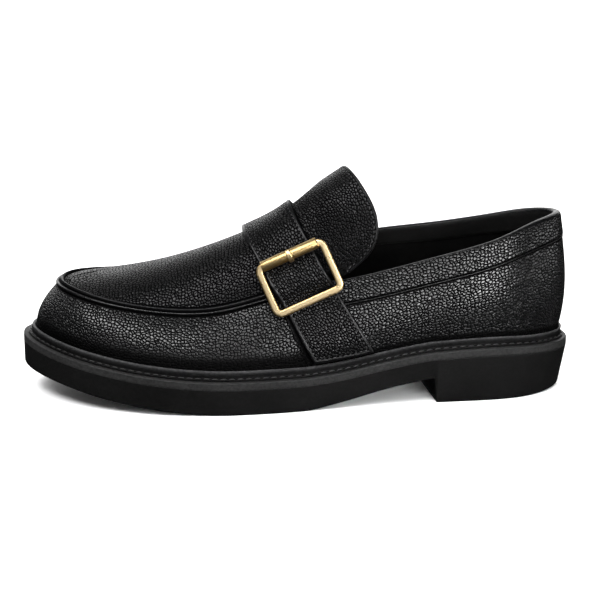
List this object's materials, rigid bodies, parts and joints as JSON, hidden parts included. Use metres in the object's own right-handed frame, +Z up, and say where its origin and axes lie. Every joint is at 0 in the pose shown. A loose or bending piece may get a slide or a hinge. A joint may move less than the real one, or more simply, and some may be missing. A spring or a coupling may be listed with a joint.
{
  "type": "buckle loafer",
  "caption": "Left-foot leather loafer with a raised apron seam, arched tongue, instep strap with roller buckle, rolled welt bead and rubber sole with block heel.",
  "frame": {"origin": "middle of the bounding box's floor, under the arch", "axes": "-X to the toe, +X to the heel, -Y to the outer side with the buckle, +Z up"},
  "size_m": [0.297, 0.104, 0.1236],
  "materials": {
    "sole_rubber": "matte black",
    "welt_rubber": "matte dark grey",
    "bead_rubber": "satin black",
    "lining": "matte black lining leather",
    "leather": "tumbled grain, satin black",
    "buckle_metal": "brushed pale gold"
  },
  "bodies": {
    "root": {"outsole": "sole_rubber", "welt": "welt_rubber", "welt_bead": "bead_rubber", "insole": "lining", "upper": "leather", "tongue": "leather", "strap": "leather", "strap_tab": "leather", "buckle_frame": "buckle_metal", "buckle_roller": "buckle_metal", "buckle_prong": "buckle_metal"}
  },
  "joints": []
}
